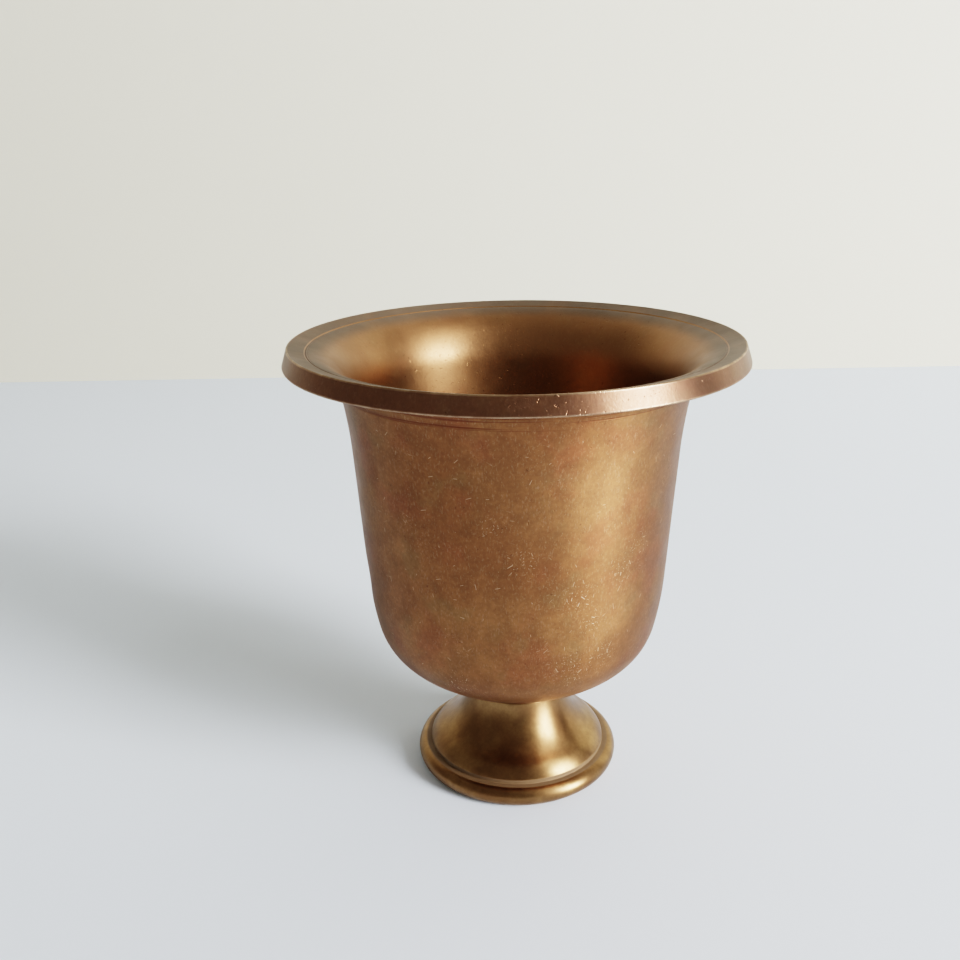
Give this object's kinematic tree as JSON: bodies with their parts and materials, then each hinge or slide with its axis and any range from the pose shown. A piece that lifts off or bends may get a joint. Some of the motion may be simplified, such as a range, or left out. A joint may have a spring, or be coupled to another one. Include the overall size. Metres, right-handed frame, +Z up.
{
  "type": "footed pen holder cup",
  "caption": "Footed brass cup for pens: a bell-shaped bowl with a wide banded rim, bolted through the neck to a hollow trumpet foot with a beaded edge.",
  "frame": {"origin": "centre of the foot's resting plane", "axes": "+Z up along the axis of revolution, from the foot to the mouth; X and Y are any two radii"},
  "size_m": [0.0904, 0.0902, 0.0939],
  "materials": {
    "bowl_brass": "aged brass with a mottled red-brown patina, turned and worn, satin",
    "foot_brass": "aged yellow brass, smooth and polished",
    "plated_steel": "dull zinc-plated steel"
  },
  "bodies": {
    "root": {"bowl": "bowl_brass", "foot": "foot_brass", "joint_stud": "plated_steel", "washer": "plated_steel", "hex_nut": "plated_steel"}
  },
  "joints": []
}
